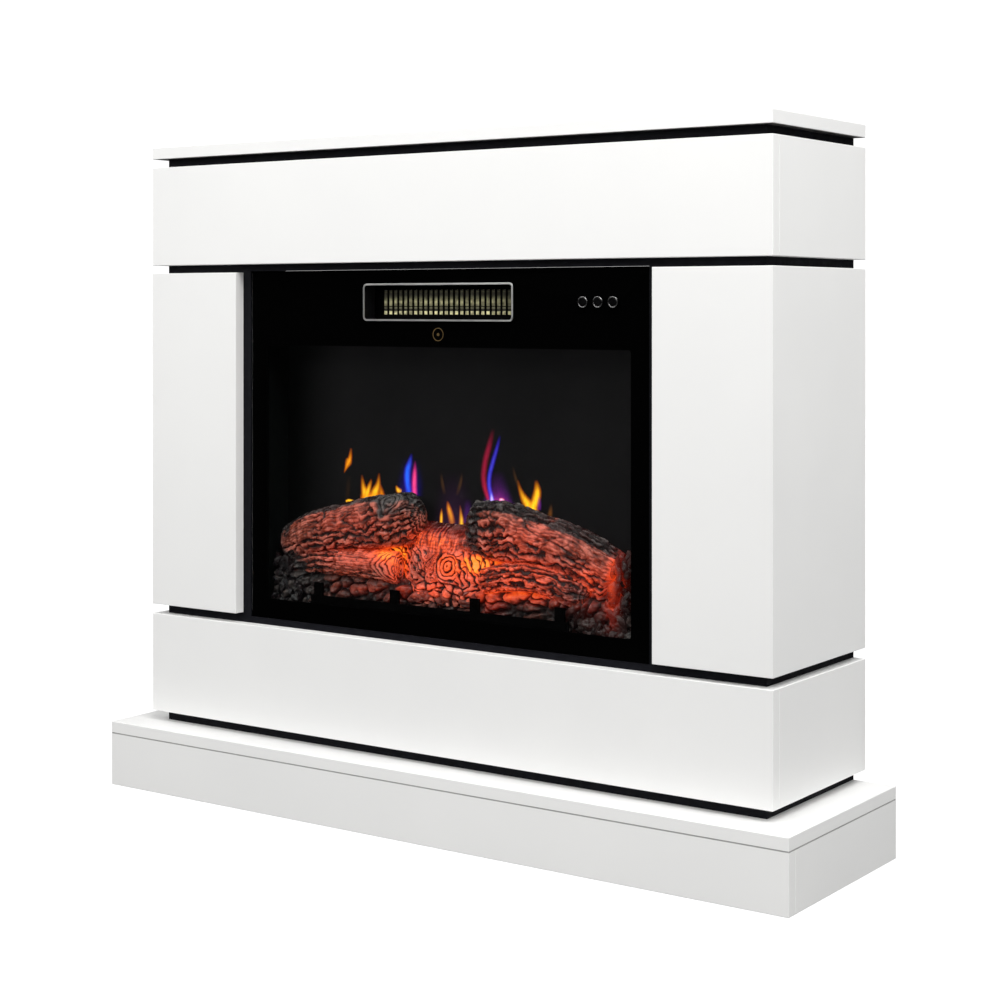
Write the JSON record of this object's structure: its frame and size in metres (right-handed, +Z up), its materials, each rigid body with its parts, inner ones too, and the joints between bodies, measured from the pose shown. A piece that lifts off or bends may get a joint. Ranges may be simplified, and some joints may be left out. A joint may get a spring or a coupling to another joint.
{
  "type": "electric fireplace",
  "caption": "White boxed fire surround with plinth and mantel, black glass-fronted electric insert, log and ember bed with flame screen, fan heater outlet and push buttons.",
  "frame": {"origin": "bottom centre of the plinth's footprint, on the floor", "axes": "+X to the right as seen from the front, -Y towards the viewer in front, +Z up"},
  "size_m": [1.05, 0.285, 0.89],
  "materials": {
    "white_board": "satin white lacquer on 16 mm board",
    "black_board": "matt black facing on 16 mm board",
    "clear_glass": "clear polished safety glass",
    "black_steel": "black stove enamel on sheet steel",
    "zinc_steel": "zinc-coated sheet steel",
    "bezel_metal": "satin silver trim",
    "button_black": "gloss black key caps",
    "ring_chrome": "thin chrome trim rings",
    "ring_gold": "dull gold ring",
    "fin_aluminium": "bare heater fins",
    "rotor_aluminium": "plain blower wheel",
    "motor_steel": "plain motor can",
    "circuit_board": "green circuit board",
    "bearing_nylon": "natural nylon bearings",
    "smoked_screen": "smoked diffusing screen",
    "mirror_foil": "polished flicker blades",
    "cutter_steel": "matt black pierced plate",
    "log_resin": "cast charred-bark logs",
    "ember_resin": "cast ember bed lit from below",
    "coal_resin": "cast dark coals",
    "gland_nylon": "black nylon gland"
  },
  "bodies": {
    "housing": {"back_rails": "black_board", "blower_end_plates": "zinc_steel", "blower_motor": "motor_steel", "blower_scroll": "zinc_steel", "button_rings": "ring_chrome", "cable_gland": "gland_nylon", "control_board": "circuit_board", "core_rail_bottom": "black_board", "core_rail_top": "black_board", "core_side_left": "black_board", "core_side_right": "black_board", "core_stile_left": "black_board", "core_stile_right": "black_board", "ember_bed": "ember_resin", "firebox_back": "zinc_steel", "firebox_floor": "zinc_steel", "firebox_side_left": "zinc_steel", "firebox_side_right": "zinc_steel", "firebox_top": "zinc_steel", "fixing_screws": "zinc_steel", "flame_cutter": "cutter_steel", "flame_screen": "smoked_screen", "front_glass": "clear_glass", "front_plate": "black_steel", "grate": "black_steel", "heater_deck": "zinc_steel", "heater_element": "fin_aluminium", "insert_brackets": "zinc_steel", "insert_shelf": "black_board", "led_boards": "circuit_board", "log_centre": "log_resin", "log_left": "log_resin", "log_right": "log_resin", "lower_beam_front": "white_board", "lower_beam_left": "white_board", "lower_beam_right": "white_board", "mantel_top": "white_board", "pilaster_left_front": "white_board", "pilaster_left_side": "white_board", "pilaster_right_front": "white_board", "pilaster_right_side": "white_board", "plinth_skirt_back": "white_board", "plinth_skirt_front": "white_board", "plinth_skirt_left": "white_board", "plinth_skirt_right": "white_board", "plinth_top": "white_board", "receiver_ring": "ring_gold", "shaft_bearings": "bearing_nylon", "side_coals": "coal_resin", "spinner_motor": "motor_steel", "upper_beam_front": "white_board", "upper_beam_left": "white_board", "upper_beam_right": "white_board", "vent_bezel": "bezel_metal", "vent_grille": "black_steel"},
    "blower_rotor_body": {"blower_rotor": "rotor_aluminium"},
    "button_flame_body": {"button_flame": "button_black"},
    "button_heat_body": {"button_heat": "button_black"},
    "button_power_body": {"button_power": "button_black"},
    "flame_spinner_body": {"flame_spinner": "mirror_foil"}
  },
  "joints": [
    {"name": "button_power_press", "type": "slide", "parent": "housing", "child": "button_power_body", "axis": [0, 1, 0], "range_m": [0, 0.0012], "stiffness_N_per_m": 800},
    {"name": "button_flame_press", "type": "slide", "parent": "housing", "child": "button_flame_body", "axis": [0, 1, 0], "range_m": [0, 0.0012], "stiffness_N_per_m": 800},
    {"name": "button_heat_press", "type": "slide", "parent": "housing", "child": "button_heat_body", "axis": [0, 1, 0], "range_m": [0, 0.0012], "stiffness_N_per_m": 800},
    {"name": "blower_spin", "type": "hinge", "parent": "housing", "child": "blower_rotor_body", "pos_m": [0, 0.002, 0.671], "axis": [1, 0, 0], "continuous": true},
    {"name": "spinner_spin", "type": "hinge", "parent": "housing", "child": "flame_spinner_body", "pos_m": [0, 0.012, 0.3], "axis": [1, 0, 0], "continuous": true}
  ]
}
